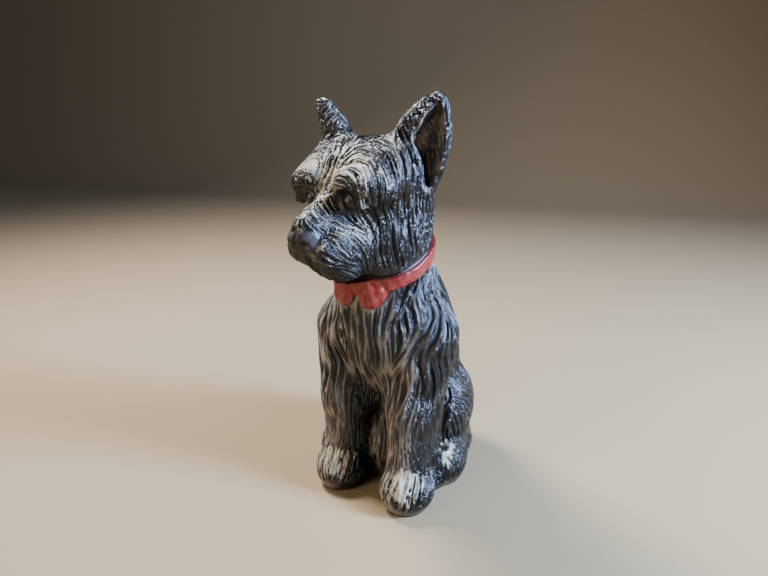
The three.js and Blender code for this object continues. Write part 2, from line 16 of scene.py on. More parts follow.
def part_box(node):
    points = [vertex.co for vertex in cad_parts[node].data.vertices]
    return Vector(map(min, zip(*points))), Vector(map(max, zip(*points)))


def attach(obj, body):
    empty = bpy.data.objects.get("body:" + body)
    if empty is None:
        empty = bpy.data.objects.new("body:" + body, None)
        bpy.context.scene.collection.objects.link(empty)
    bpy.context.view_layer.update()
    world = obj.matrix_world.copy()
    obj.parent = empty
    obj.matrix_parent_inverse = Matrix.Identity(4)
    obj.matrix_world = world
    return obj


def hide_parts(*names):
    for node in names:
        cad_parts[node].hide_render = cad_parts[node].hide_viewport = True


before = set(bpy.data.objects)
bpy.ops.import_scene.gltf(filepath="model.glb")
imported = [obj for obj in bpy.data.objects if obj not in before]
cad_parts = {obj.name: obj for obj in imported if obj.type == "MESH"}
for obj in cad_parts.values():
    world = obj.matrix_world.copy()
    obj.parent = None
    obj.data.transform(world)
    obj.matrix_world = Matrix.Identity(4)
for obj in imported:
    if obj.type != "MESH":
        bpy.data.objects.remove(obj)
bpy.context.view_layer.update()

frame_low, frame_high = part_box("dog_statue")
HEIGHT = frame_high.z
print("frame box in mm", [round(1000 * v) for v in frame_high - frame_low])

# %% [markdown]
# The figure is sculpted in hundredths of its height, as a modeller works to head counts. Every form is a
# function that says how far a point is from the form's surface: below zero is inside. Two forms run into
# each other through a soft fillet, which is what clay does under a thumb. Metaballs would do something
# alike, but they can't be scooped out or given a flat base, so the distances are written out.

# %% Clay tools
UNIT = HEIGHT / 100


def join(a, b, fillet):
    """Distance to two forms run together."""
    near = np.maximum(fillet - np.abs(a - b), 0) / fillet
    return np.minimum(a, b) - near * near * fillet / 4


def cut(a, b, fillet):
    """Distance to form a with form b scooped out of it."""
    return -join(-a, b, fillet)


def length(x, y, z):
    return np.sqrt(x * x + y * y + z * z)


def egg(x, y, z, rx, ry, rz):
    """Distance to an egg with the half sizes rx, ry and rz."""
    near = length(x / rx, y / ry, z / rz)
    steep = np.maximum(length(x / rx**2, y / ry**2, z / rz**2), 1e-9)
    return near * (near - 1) / steep


def limb(x, y, z, a, b, ra, rb):
    """Distance to a straight limb whose radius goes from ra at a to rb at b."""
    dx, dy, dz = b[0] - a[0], b[1] - a[1], b[2] - a[2]
    share = ((x - a[0]) * dx + (y - a[1]) * dy + (z - a[2]) * dz) / (dx * dx + dy * dy + dz * dz)
    share = np.clip(share, 0, 1)
    off = length(x - a[0] - share * dx, y - a[1] - share * dy, z - a[2] - share * dz)
    return off - ra - share * (rb - ra)


def smooth(a, b, v):
    """Goes softly from 0 at a to 1 at b."""
    t = np.clip((v - a) / (b - a), 0, 1)
    return t * t * (3 - 2 * t)


def meets(part, a, b):
    """Where a straight line from a to b first enters a form."""
    line = np.linspace(a, b, 500)
    return [round(float(v), 1) for v in line[np.argmax(part(*line.T) < 0)]]


print("one hundredth of the height is", round(1000 * UNIT, 2), "mm")

# %% [markdown]
# The trunk is three eggs: chest, belly and rump, with the neck leaning forward out of the chest. A sitting
# dog carries its weight on the rump, so that egg is the widest and reaches the ground.

# %% Trunk
def trunk(x, y, z):
    d = egg(x - 0.4, y + 5.8, z - 43.4, 15.2, 14.8, 17)
    d = join(d, egg(x, y - 3, z - 30.5, 16.3, 16.6, 20), 6)
    d = join(d, egg(x, y - 10, z - 15, 15, 13.5, 17), 6)
    return join(d, limb(x, y, z, [0.4, -8, 48], [0, -11.5, 68], 12.6, 10), 7)


print("the chest stands out to", meets(trunk, (0.4, -40, 43), (0.4, 0, 43)))

# %% [markdown]
# A leg is a chain of tapered limbs with an egg for the paw, and grooves scooped between the toes. The long
# hair behind each foreleg is part of its form. Left and right are alike, so the distance from the middle is
# folded over and one leg is written. The left forepaw is a short stride ahead of the right.

# %% Legs
STRIDE = 2.1
PAW = (10, -18.2, 4.6)


def foreleg(x, y, z):
    side = np.where(x < 0, -1, 1)
    step = -STRIDE * side
    px = side * x
    d = limb(px, y - 0.4 * step, z, [11, -9.5, 42], [9.8, -14, 24], 8.4, 6.6)
    d = join(d, limb(px, y - step, z, [9.8, -14, 24], [9.8, -17, 8], 6.4, 5.4), 3)
    feathering = limb(px, y - step, z, [10.4, -9, 28], [12, -8.6, 3], 4.6, 4.8)
    d = join(d, feathering, 3)
    paw_x, paw_y, paw_z = px - PAW[0], y - step - PAW[1], z - PAW[2]
    d = join(d, egg(paw_x, paw_y, paw_z, 6.9, 8, 6.6), 2.2)
    for toe in (-2.6, 0, 2.6):
        between = limb(paw_x - toe, paw_y, paw_z, [0, -8.6, -1.5], [0, -4.2, 5.4], 0.34, 0.2)
        d = cut(d, between, 0.7)
    return d


def hindleg(px, y, z):
    d = egg(px - 11.8, y - 6, z - 16.4, 8.6, 13, 12.4)
    d = join(d, egg(px - 14.2, y - 0.6, z - 18, 5.8, 8, 8.6), 3)
    d = join(d, limb(px, y, z, [16, -2, 5], [14.8, 8, 5], 4.6, 5.4), 2.5)
    return join(d, egg(px - 16.2, y + 4.6, z - 4.6, 5, 6.8, 6.2), 1.8)


print("the left forepaw starts at", meets(foreleg, (10, -40, 5), (10, -10, 5)))

# %% [markdown]
# The head is turned 18 degrees to the dog's right, so its forms are written in a frame of its own:
# how far to the left of its middle, how far forward of the neck, and the height. Both halves of a head
# are alike, so the distance to the left is folded over and each form is written once. The brows are limbs
# that hang over the eyes, as a terrier's do.

# %% Skull
HEAD_YAW = math.radians(18)
HEAD_AXIS = (-1.2, -10)


def head_frame(x, y):
    left, back = x - HEAD_AXIS[0], y - HEAD_AXIS[1]
    sin, cos = math.sin(HEAD_YAW), math.cos(HEAD_YAW)
    return left * cos - back * sin, -left * sin - back * cos


def skull(hx, hf, z):
    sx = np.abs(hx)
    d = egg(hx, hf - 2.2, z - 76.8, 13.2, 15.4, 14.2)
    d = join(d, egg(sx - 5, hf - 7.4, z - 82.6, 9, 9.4, 7.4), 4)
    d = join(d, egg(sx - 7.6, hf - 13.4, z - 80.6, 6.4, 6.4, 4.6), 3)
    d = join(d, egg(sx - 12, hf - 6, z - 84.5, 3, 4, 5), 3)
    brow = limb(sx, hf, z, [5.4, 18.4, 82], [9.2, 18, 77], 2.6, 0.9)
    d = join(d, brow, 1.6)
    return join(d, egg(sx - 7.4, hf - 3.4, z - 66.6, 6.6, 10, 10), 6)


print("the forehead stands out to", meets(skull, (0, 40, 83), (0, 0, 83)))

# %% [markdown]
# The muzzle is two hairy cheeks, the bridge of the nose and the chin. Nostrils and mouth are thin scoops:
# the mouth is a line that drops from the nose and turns back along each lip.

# %% Nose and muzzle
def nose_pad(hx, hf, z):
    return egg(hx, hf - 25.8, z - 69.7, 4.1, 2.9, 2.8)


def muzzle(hx, hf, z):
    sx = np.abs(hx)
    d = egg(sx - 3.5, hf - 17.8, z - 67.4, 5.3, 8.5, 5)
    d = join(d, limb(hx, hf, z, [0, 15, 76.4], [0, 24.4, 72], 4.6, 3.5), 3)
    d = join(d, egg(hx, hf - 14.6, z - 63, 6.4, 6.4, 4.6), 3)
    d = join(d, nose_pad(hx, hf, z), 0.9)
    lip = [[0, 28.8, 68.6], [0, 26.8, 65.2], [3.4, 24.6, 63.6], [7, 20.8, 63], [8.8, 16, 63]]
    for a, b in zip(lip, lip[1:]):
        d = cut(d, limb(sx, hf, z, a, b, 0.35, 0.3), 0.6)
    d = cut(d, egg(sx - 2.1, hf - 28.1, z - 69.4, 0.7, 0.9, 0.45), 0.5)
    return cut(d, limb(hx, hf, z, [0, 28.5, 69.2], [0, 28.6, 71.4], 0.25, 0.1), 0.5)


print("the tip of the nose is at", meets(muzzle, (1, 40, 70.5), (1, 0, 70.5)))

# %% [markdown]
# An ear is a leaf with a cup scooped out of its outer front face. Its own axes make that easy: one runs
# from the root to the tip, one faces out of the cup, and the third runs across.
# Hair stands over the front edge, so the cup starts further in there. It is a little fuller than on the
# solid, because here it is cut into tufts.

# %% Ears
EAR_ROOT = np.array([10, 1.2, 84])
EAR_TIP = np.array([17.8, 1.6, 99.9])
EAR_LENGTH = np.linalg.norm(EAR_TIP - EAR_ROOT)
EAR_AXIS = (EAR_TIP - EAR_ROOT) / EAR_LENGTH
EAR_FACE = np.array([math.sin(0.62), math.cos(0.62), 0])
EAR_FACE = EAR_FACE - EAR_FACE.dot(EAR_AXIS) * EAR_AXIS
EAR_FACE /= np.linalg.norm(EAR_FACE)
EAR_WIDE = np.cross(EAR_AXIS, EAR_FACE)
EAR_HALF_WIDTH = 7.3
EAR_RIM = 1.5
EAR_FRINGE = 3


def ear_place(hx, hf, z):
    """Share of the ear's length, places across and through it, and the half sizes there."""
    q = [np.abs(hx) - EAR_ROOT[0], hf - EAR_ROOT[1], z - EAR_ROOT[2]]
    share, wide, deep = (sum(a * c for a, c in zip(axis, q)) for axis in (EAR_AXIS, EAR_WIDE, EAR_FACE))
    share = share / EAR_LENGTH
    taper = (1 - np.clip(share, 0, 1) ** 2) ** 0.7
    return share, wide, deep, 0.6 + 6.7 * taper, 1 + 3.4 * taper


def ear_cup(hx, hf, z):
    share, wide, deep, half_wide, half_deep = ear_place(hx, hf, z)
    fringe = EAR_FRINGE * half_wide / EAR_HALF_WIDTH
    cup_wide = np.maximum(half_wide - EAR_RIM - fringe / 2, 0.3)
    across = (wide + fringe / 2) / cup_wide
    through = (deep - 0.7 * half_deep) / half_deep
    near = np.sqrt(across**2 + through**2)
    ends = np.maximum((share - 0.93) * EAR_LENGTH, (-0.15 - share) * EAR_LENGTH)
    return np.maximum((near - 1) * np.minimum(cup_wide, half_deep), ends)


def ear(hx, hf, z):
    share, wide, deep, half_wide, half_deep = ear_place(hx, hf, z)
    near = np.sqrt((wide / half_wide) ** 2 + (deep / half_deep) ** 2)
    ends = np.maximum((share - 1) * EAR_LENGTH, (-0.5 - share) * EAR_LENGTH)
    leaf = np.maximum((near - 1) * np.minimum(half_wide, half_deep), ends)
    return cut(leaf, ear_cup(hx, hf, z), 0.8)


print("ears", round(float(EAR_LENGTH), 1), "long and", 2 * EAR_HALF_WIDTH, "wide")

# %% [markdown]
# The eyes are balls set in sockets under the brows. They sit deep, so that the brow shades them.

# %% Head
EYE = (5.8, 17.2, 77.6)
EYEBALL = 1.8


def head(x, y, z):
    hx, hf = head_frame(x, y)
    sx = np.abs(hx)
    d = join(skull(hx, hf, z), muzzle(hx, hf, z), 3.5)
    d = join(d, ear(hx, hf, z), 2.5)
    socket = egg(sx - EYE[0], hf - EYE[1] - 4.4, z - EYE[2], 3.4, 3.9, 2.7)
    d = cut(d, socket, 1.6)
    return join(d, egg(sx - EYE[0], hf - EYE[1], z - EYE[2], EYEBALL, EYEBALL, EYEBALL), 0.3)


print("the right cheek stands out to", meets(head, (-40, -14, 70), (0, -14, 70)))

# %% [markdown]
# The collar and its bow are modelled on the coat in the same pour. The collar is the coat's own surface
# moved outwards by its thickness inside a band, so it follows every bulge as a real strap pulled tight.
# The bow's two lobes widen the band at the throat and are thicker, like small pillows.

# %% Collar and bow
COLLAR_WIDTH = 13e-3 / UNIT
COLLAR_THICKNESS = 4e-3 / UNIT
BOW_WIDTH = 60e-3 / UNIT
BOW_HEIGHT = 26e-3 / UNIT
BOW_THICKNESS = 8e-3 / UNIT
BOW_PLACE = -2.9
BOW_FRONT = -9
COLLAR_MIDDLE, COLLAR_SLOPE = 62, 0.45
COLLAR_SHARE = 0.912  # the cosine of that slope


def near_collar(z):
    return (z > 46) & (z < 74)


def above_collar(x, y, z):
    """Height above the sloping plane of the collar, which dips the way the head is turned."""
    return (z - COLLAR_MIDDLE + COLLAR_SLOPE * head_frame(x, y)[1]) * COLLAR_SHARE


def bow_lobes(x, y, z):
    """The bow is two hanging lobes side by side."""
    wide = np.abs(x - BOW_PLACE) - 0.27 * BOW_WIDTH
    drop = BOW_HEIGHT / 2 - COLLAR_WIDTH / 2 - 1e-3 / UNIT
    return egg(wide, 0 * x, above_collar(x, y, z) + drop, 0.23 * BOW_WIDTH, 9, BOW_HEIGHT / 2)


def collar_outline(x, y, z):
    band = np.abs(above_collar(x, y, z)) - COLLAR_WIDTH / 2
    return np.where(y > BOW_FRONT, band, join(band, bow_lobes(x, y, z), 0.8))


def collar(x, y, z, under):
    bow = smooth(0, -2, bow_lobes(x, y, z)) * (y < BOW_FRONT)
    thick = COLLAR_THICKNESS + (BOW_THICKNESS - COLLAR_THICKNESS) * bow
    return np.maximum(under - thick, collar_outline(x, y, z))


print("collar and bow in hundredths", [round(v, 1) for v in (COLLAR_WIDTH, BOW_WIDTH, BOW_HEIGHT)])

# %% [markdown]
# The whole form is put together from the ground up. A part is only worked out where it can matter, because
# the field is asked for at millions of points. A deep furrow parts each foreleg from the thigh, and the
# ground cuts everything off flat.

# %% Whole form
FURROW = [([15.2, -4.6, 27], 1.2), ([15.2, -7.4, 19], 1.3), ([15.4, -7.6, 9.5], 1.3)]


def form(x, y, z):
    d = trunk(x, y, z)

    def put(here, part, fillet):
        if here.any():
            d[here] = join(d[here], part(x[here], y[here], z[here]), fillet)

    put(z < 54, foreleg, 4)
    seat = z < 38
    put(seat, lambda x, y, z: hindleg(np.abs(x), y, z), 3)
    put(seat, lambda x, y, z: egg(x, y - 4, z - 8, 11, 18, 15), 3)
    put(seat, lambda x, y, z: limb(np.abs(x), y, z, [8, -14, 2], [13, 0, 2], 3.5, 3.5), 3)
    put(seat, lambda x, y, z: limb(x, y, z, [0, 20.5, 7], [0, 22.6, 19], 3.4, 2), 1.6)
    for (a, ra), (b, rb) in zip(FURROW, FURROW[1:]):
        d[seat] = cut(d[seat], limb(np.abs(x[seat]), y[seat], z[seat], a, b, ra, rb), 1.4)
    put(z > 50, head, 2.5)
    here = near_collar(z)
    put(here, lambda x, y, z: collar(x, y, z, d[here]), 0.5)
    return np.maximum(d, -z)


def slope(p, reach=0.05):
    """Direction straight out of the form at each point, from four samples round it."""
    out = np.zeros_like(p)
    for corner in ((1, -1, -1), (-1, -1, 1), (-1, 1, -1), (1, 1, 1)):
        corner = np.array(corner)
        out += corner * form(*(p + reach * corner).T)[:, None]
    return out / np.maximum(np.linalg.norm(out, axis=1, keepdims=True), 1e-9)


print("the crown is at", meets(form, (-1, -8, 110), (-1, -8, 70)))
print("the back stands out to", meets(form, (0, 40, 30), (0, 0, 30)))

# %% [markdown]
# A skin is drawn where the distance is zero. Space is cut into small cells; each cell that the surface
# passes through gets one point, and points of neighbouring cells are joined by squares. This is called
# surface nets, and gives even squares that take fine relief well. Marching cubes would do as well, but
# leaves slivers, which show when grooves are pressed in.
# First the distance is sampled at the cells' corners. Blocks far from the surface get one value each.

# %% Sample the distances
CELL = 1.25e-3 / UNIT
ROOM_LOW = np.array([-24, -42, -2.0])
ROOM_HIGH = np.array([24, 34, 106.0])
BLOCK = 8
NEAR_BLOCKS = 1.6  # a block whose middle is further than this many blocks from the surface holds none of it
GROUP = 200  # blocks worked out at a time, to spare memory
CORNERS = np.array([[c & 1, c >> 1 & 1, c >> 2 & 1] for c in range(8)])


def sample_room():
    """Distances on a grid: every point near the surface, and one value a block elsewhere."""
    blocks = np.ceil((ROOM_HIGH - ROOM_LOW) / CELL / BLOCK).astype(int)
    places = np.stack(np.meshgrid(*[np.arange(b) for b in blocks], indexing="ij"), -1).reshape(-1, 3)
    middles = ROOM_LOW + (places + 0.5) * BLOCK * CELL
    coarse = form(*middles.T)
    values = np.repeat(np.repeat(np.repeat(coarse.reshape(blocks), BLOCK, 0), BLOCK, 1), BLOCK, 2)
    values = values.astype(np.float32)
    inner = np.stack(np.meshgrid(*[np.arange(BLOCK)] * 3, indexing="ij"), -1).reshape(-1, 3)
    near = places[np.abs(coarse) < NEAR_BLOCKS * BLOCK * CELL]
    for group in np.array_split(near, max(1, len(near) // GROUP)):
        at = (group[:, None] * BLOCK + inner).reshape(-1, 3)
        values[tuple(at.T)] = form(*(ROOM_LOW + at * CELL).T)
    return values


distances = sample_room()
print("grid points", distances.size)

# %% [markdown]
# One point a cell is only right where one sheet of skin passes through. A cell with two sheets in it would
# pinch them together, and the mesh would no longer be one closed skin. Such cells are found by the pattern
# of their corners. The outer corner nearest to the surface is then filled in, until no such cell is left.

# %% Part the pinched cells
def pinched(mask):
    """True where a cell's corners would let two sheets of skin touch along an edge or at a point."""
    inside = [mask >> c & 1 for c in range(8)]
    for axis in range(3):
        u, w = 1 << (axis + 1) % 3, 1 << (axis + 2) % 3
        for base in (0, 1 << axis):
            a, b, c, d = (inside[base + o] for o in (0, u, u + w, w))
            if a == c and b == d and a != b:
                return True
    for kind in (0, 1):
        same = [c for c in range(8) if inside[c] == kind]
        reached = same[:1]
        for c in reached:
            reached += [c ^ bit for bit in (1, 2, 4) if inside[c ^ bit] == kind and c ^ bit not in reached]
        if len(reached) != len(same):
            return True
    return False


PINCHED = np.array([pinched(mask) for mask in range(256)])
JUST_INSIDE = -0.05 * CELL


def cell_masks(values):
    """For each cell, one bit for each of its corners that is inside."""
    n = np.array(values.shape) - 1
    masks = np.zeros(n, np.uint8)
    for c, (i, j, k) in enumerate(CORNERS):
        masks |= (values[i : n[0] + i, j : n[1] + j, k : n[2] + k] < 0).astype(np.uint8) << c
    return masks


def part_pinches(values):
    """Fills corners in until no cell is pinched, and gives the number of rounds that took."""
    rounds = 0
    while PINCHED[cell_masks(values)].any():
        at = np.argwhere(PINCHED[cell_masks(values)])
        corners = at[:, None] + CORNERS
        v = values[tuple(np.moveaxis(corners, -1, 0))]
        least = np.where(v < 0, np.inf, v).argmin(1)
        values[tuple(corners[np.arange(len(at)), least].T)] = JUST_INSIDE
        rounds += 1
    return rounds


print("rounds of parting", part_pinches(distances))

# %% [markdown]
# Each crossed cell gets its point at the mean of the places where the surface cuts the cell's edges. Each
# grid edge that the surface cuts has four cells round it, and their points make a square. The points are
# then moved along the slope onto the true surface, which takes out the last of the grid.

# %% Draw the skin
FOOT = 0.3  # below this height a point belongs to the flat underside, and stays


def crossing_points(values, crossed):
    v = values[tuple(np.moveaxis(crossed[:, None] + CORNERS, -1, 0))]
    total, count = np.zeros((len(crossed), 3)), np.zeros((len(crossed), 1))
    for c in range(8):
        for axis in range(3):
            other = c | 1 << axis
            if other == c:
                continue
            change = (v[:, c] < 0) != (v[:, other] < 0)
            a, b = v[change, c], v[change, other]
            total[change] += CORNERS[c] + np.eye(3)[axis] * (a / (a - b))[:, None]
            count[change] += 1
    return ROOM_LOW + (crossed + total / count) * CELL


def squares_between(values, shape, crossed):
    index = np.full(shape, -1, np.int32)
    index[tuple(crossed.T)] = np.arange(len(crossed))
    inside = values < 0
    here = tuple(slice(1, size) for size in shape)
    squares = []
    for axis in range(3):
        step, p, q = (np.eye(3, dtype=int)[(axis + turn) % 3] for turn in range(3))
        next_one = tuple(slice(1 + s, size + s) for s, size in zip(step, shape))
        at = np.argwhere(inside[here] != inside[next_one]) + 1
        ring = np.stack([index[tuple(r.T)] for r in (at, at - p, at - p - q, at - q)], 1)
        flip = ~inside[tuple(at.T)]
        ring[flip] = ring[flip][:, ::-1]
        squares.append(ring)
    return np.concatenate(squares)


masks = cell_masks(distances)
crossed = np.argwhere((masks > 0) & (masks < 255))
skin = crossing_points(distances, crossed)
squares = squares_between(distances, masks.shape, crossed)
skin = skin - slope(skin) * form(*skin.T)[:, None] * (skin[:, 2:] > FOOT)
outward = slope(skin)
print("skin points", len(skin), "squares", len(squares))

# %% [markdown]
# The coat was carved in the clay with a loop tool: long grooves part it into locks, and a finer comb
# draws the strands. To place the grooves a direction is needed at each point of the skin. Hair falls down
# the flanks, parts on the crown, sweeps back along the muzzle, and sways a little as it hangs.

# %% Which way the hair lies
def head_share(x, y, z):
    """Share of the way from the trunk's coat, 0, to the head's, 1."""
    return smooth(0, 2, above_collar(x, y, z))


def lie(x, y, z):
    hx, hf = head_frame(x, y)
    sin, cos = math.sin(HEAD_YAW), math.cos(HEAD_YAW)
    out = np.clip(hx / 3, -1, 1)
    top = smooth(77, 82, z)
    nose = smooth(13, 18, hf) * (1 - smooth(72, 77, z))
    ears = smooth(88, 93, z) * smooth(9, 12, np.abs(hx))
    # From the parting the hair rises, turns outwards and falls in arcs
    rise = 1.2 - 2.6 * smooth(1, 12, np.abs(hx))
    left = out * (0.15 + (np.cos(rise) - 0.15) * top + 0.35 * nose) * (1 - ears) + 0.7 * out * ears
    ahead = (-0.1 - 0.8 * np.maximum(0, np.sin(rise)) * top - 0.9 * nose) * (1 - ears)
    upward = (-1 + (1 + np.sin(rise)) * top) * (1 - ears) - ears
    on_head = np.stack([left * cos - ahead * sin, -left * sin - ahead * cos, upward], 1)

    paw = 1 - smooth(6, 12, z)
    front = 1 - smooth(-14, -6, y)
    inward = 0.25 * front * smooth(24, 34, z) * smooth(2, 8, np.abs(x))
    low = 1 - smooth(26, 36, z)
    feather = low * smooth(-15, -10, y) * (1 - smooth(-4, 0, y))
    back = 0.1 + 0.7 * feather + 0.35 * low * smooth(-4, 2, y) - 0.8 * paw * front
    on_trunk = np.stack([-np.sign(x) * inward, back, -np.ones_like(z)], 1)
    return np.where(head_share(x, y, z)[:, None] > 0.5, on_head, on_trunk)


def sway(x, y, z):
    wander = 1.4 * np.sin(0.21 * x + 0.9) + 1.2 * np.sin(0.17 * y)
    wander = wander + 1.1 * np.sin(0.6 * x - 0.45 * y + 2)
    leg = 1 - smooth(16, 32, z)
    share = head_share(x, y, z)
    flank = 0.4 + 0.6 * smooth(3, 9, np.abs(x))
    trunk_wave = 0.42 * flank * np.sin(0.42 * z + wander) * (1 - 0.6 * leg)
    return trunk_wave * (1 - share) + 0.13 * np.sin(0.5 * z + wander) * share


def hair_run(p, normal):
    """Direction in which the hair lies at each point, along the skin."""
    run = lie(*p.T)
    run -= normal * (run * normal).sum(1, keepdims=True)
    run /= np.maximum(np.linalg.norm(run, axis=1, keepdims=True), 1e-9)
    run += np.cross(normal, run) * sway(*p.T)[:, None]
    return run / np.linalg.norm(run, axis=1, keepdims=True)


run = hair_run(skin, outward)
print("hair falls at", round(100 * float((run[:, 2] < 0).mean())), "% of the skin points")

# %% [markdown]
# The carver left the nose, the eyes, the collar and the insides of the ears smooth, cut the long coat of
# the trunk deepest, and only scratched the short hair of the legs. So spacing, length and depth of the
# grooves change from place to place: each is a usual value, and how much every place adds or takes away.

# %% How the coat was carved
def coat(x, y, z):
    share = head_share(x, y, z)
    leg = (1 - smooth(20, 36, z)) * (1 - share)
    hx, hf = head_frame(x, y)
    near_nose = share * (1 - smooth(0.1, 1, nose_pad(hx, hf, z)))
    near_eye = share * (1 - smooth(2.2, 3, length(np.abs(hx) - EYE[0], hf - EYE[1] - 1.1, z - EYE[2])))
    in_cup = share * (1 - smooth(0.1, 0.6, ear_cup(hx, hf, z))) * smooth(0.5, 1.5, skull(hx, hf, z))
    on_collar = (1 - smooth(0.1, 1, collar_outline(x, y, z))) * near_collar(z)
    calm = (1 - near_nose) * (1 - near_eye) * (1 - on_collar) * (1 - 0.5 * in_cup) * smooth(0.6, 4, z)
    on_ear = share * smooth(88, 92, z)
    face = share * smooth(8, 14, hf)
    shin = leg * (1 - smooth(-16, -10, y)) * smooth(8, 14, z)
    bib = (1 - share) * (1 - leg) * (1 - smooth(3, 9, np.abs(x))) * (1 - smooth(-10, -4, y))
    apart = 1.7 - 0.5 * share - 0.4 * leg - 0.15 * face - 0.15 * on_ear
    long = 30 - 2 * share - 14 * leg
    deep = 0.85 - 0.1 * share - 0.4 * leg + 0.15 * on_ear - 0.3 * face - 0.35 * shin - 0.4 * bib
    return apart, long, deep * calm, calm


apart, _, deep, calm = coat(*skin.T)
print("locks are", *(1000 * UNIT * np.array([apart.min(), apart.max()])).round(1), "mm apart")

# %% [markdown]
# A groove starts at a point of the skin and is followed both ways along the hair. It is kept if its start
# is far enough from the grooves already there, and it stops where it would run into one. Evenly spaced
# lines like these look combed, where grooves placed by chance alone would cross and clump.
# All candidates are followed at once, which is quick with arrays, and then taken one after another.

# %% Follow the hair
STEP = 0.7


def follow(p, way, steps):
    """Walks from each point along the hair, or against it, and keeps to the skin."""
    path, facing = [], []
    for _ in range(steps):
        normal = slope(p)
        path.append(p)
        facing.append(normal)
        p = p + way * STEP * hair_run(p, normal)
        p = p - slope(p) * form(*p.T)[:, None]
    return np.stack(path, 1), np.stack(facing, 1)


def follow_both_ways(seeds, steps):
    ahead, ahead_facing = follow(seeds, 1, steps)
    behind, behind_facing = follow(seeds, -1, steps)
    paths = np.concatenate([behind[:, :0:-1], ahead], 1)
    return paths, np.concatenate([behind_facing[:, :0:-1], ahead_facing], 1)


path, _ = follow(np.array([[12.0, -8.0, 45.0]]), 1, 20)
print("hair on the shoulder runs from", path[0, 1].round(1), "to", path[0, -1].round(1))

# %% [markdown]
# To know quickly how near the last groove is, space is filled with voxels that hold that distance. Each
# point of a new groove stamps a small ball of distances round itself. The stamps are kept a little outside
# the skin, so that the grooves on the two faces of a thin ear don't keep each other away.

# %% Draw the grooves
OFFSET = 0.6  # how far outside the skin the stamps are
LEAST_DEEP = 0.08  # a fainter groove isn't carved
LEAST_STEPS = 4  # nor is a shorter one
SHORTEST, LONGER = 0.5, 0.6  # a groove is from 0.5 to 1.1 of the usual length, by chance
FAINTEST, DEEPER = 0.55, 0.55  # and from 0.55 to 1.1 of the usual depth
VOXELS_APART = 3.5  # voxels between grooves where they are closest
OPEN = 9.0  # the distance held where no groove is near
rng = np.random.default_rng(15)


def distance_ball(span, voxel):
    ball = np.stack(np.meshgrid(*[np.arange(-span, span + 1)] * 3, indexing="ij"), -1)
    return (np.linalg.norm(ball, axis=-1) * voxel).astype(np.float32)


def draw_grooves(tries, finer, longest):
    """Lines along the hair, finer times closer together than the locks are."""
    seeds = skin[rng.choice(len(skin), tries, replace=False)]
    seeds = seeds[coat(*seeds.T)[2] > LEAST_DEEP]
    steps = int(longest / STEP / 2)
    paths, facings = follow_both_ways(seeds, steps)
    apart, long, deep, _ = (v.reshape(paths.shape[:2]) for v in coat(*paths.reshape(-1, 3).T))
    apart, long = apart / finer, long / finer

    voxel = apart.min() / VOXELS_APART
    span = int(apart.max() / voxel) + 1
    size = ((ROOM_HIGH - ROOM_LOW) / voxel).astype(int) + 2 * span + 4
    free = np.full(size, OPEN, np.float32)
    ball = distance_ball(span, voxel)
    cells = ((paths + OFFSET * facings - ROOM_LOW) / voxel).astype(int) + span + 1
    luck = rng.random((len(seeds), 2))
    start = steps - 1
    kept = []
    for i in range(len(seeds)):
        room = free[tuple(cells[i].T)]
        if room[start] < apart[i, start]:
            continue
        half = int(long[i, start] * (SHORTEST + LONGER * luck[i, 0]) / 2 / STEP) + 1
        stop = (room < 0.5 * apart[i]) | (deep[i] < LEAST_DEEP)
        after = np.flatnonzero(stop[start:])
        before = np.flatnonzero(stop[start::-1])
        last = start + min(half, after[0] - 1 if len(after) else half, steps - 1)
        first = start - min(half, before[0] - 1 if len(before) else half, steps - 1)
        if last - first < LEAST_STEPS:
            continue
        part = slice(first, last + 1)
        for a, b, c in cells[i, part]:
            near = free[a - span : a + span + 1, b - span : b + span + 1, c - span : c + span + 1]
            np.minimum(near, ball, out=near)
        kept.append((paths[i, part], facings[i, part], FAINTEST + DEEPER * luck[i, 1]))
    print("grooves", len(kept), "of", len(seeds), "tried")
    return kept


FINER = 2
locks = draw_grooves(tries=12000, finer=1, longest=36)
strands = draw_grooves(tries=26000, finer=FINER, longest=15)

# %% [markdown]
# Each point of the skin then sinks by how close it is to a groove. The groove's wall is steeper on one
# side, as a tool held at a slant leaves it, so locks seem to lie over each other like tiles. A groove
# deepens quickly where the tool goes in, and runs out slowly.

# %% How far down a groove
SLANT = 0.3
GOES_IN, RUNS_OUT = 5, 3  # full depth is reached over a fifth of the length, and lost over a third
ROUNDNESS = 1.6
SAME_FACE = 0.2  # a groove on the other face of a thin ear isn't felt


def nearest_groove_point(points, facing):
    tree = kdtree.KDTree(len(points))
    for i, p in enumerate(points + OFFSET * facing):
        tree.insert(p, i)
    tree.balance()
    return np.array([tree.find(p)[1] for p in skin + OFFSET * outward])


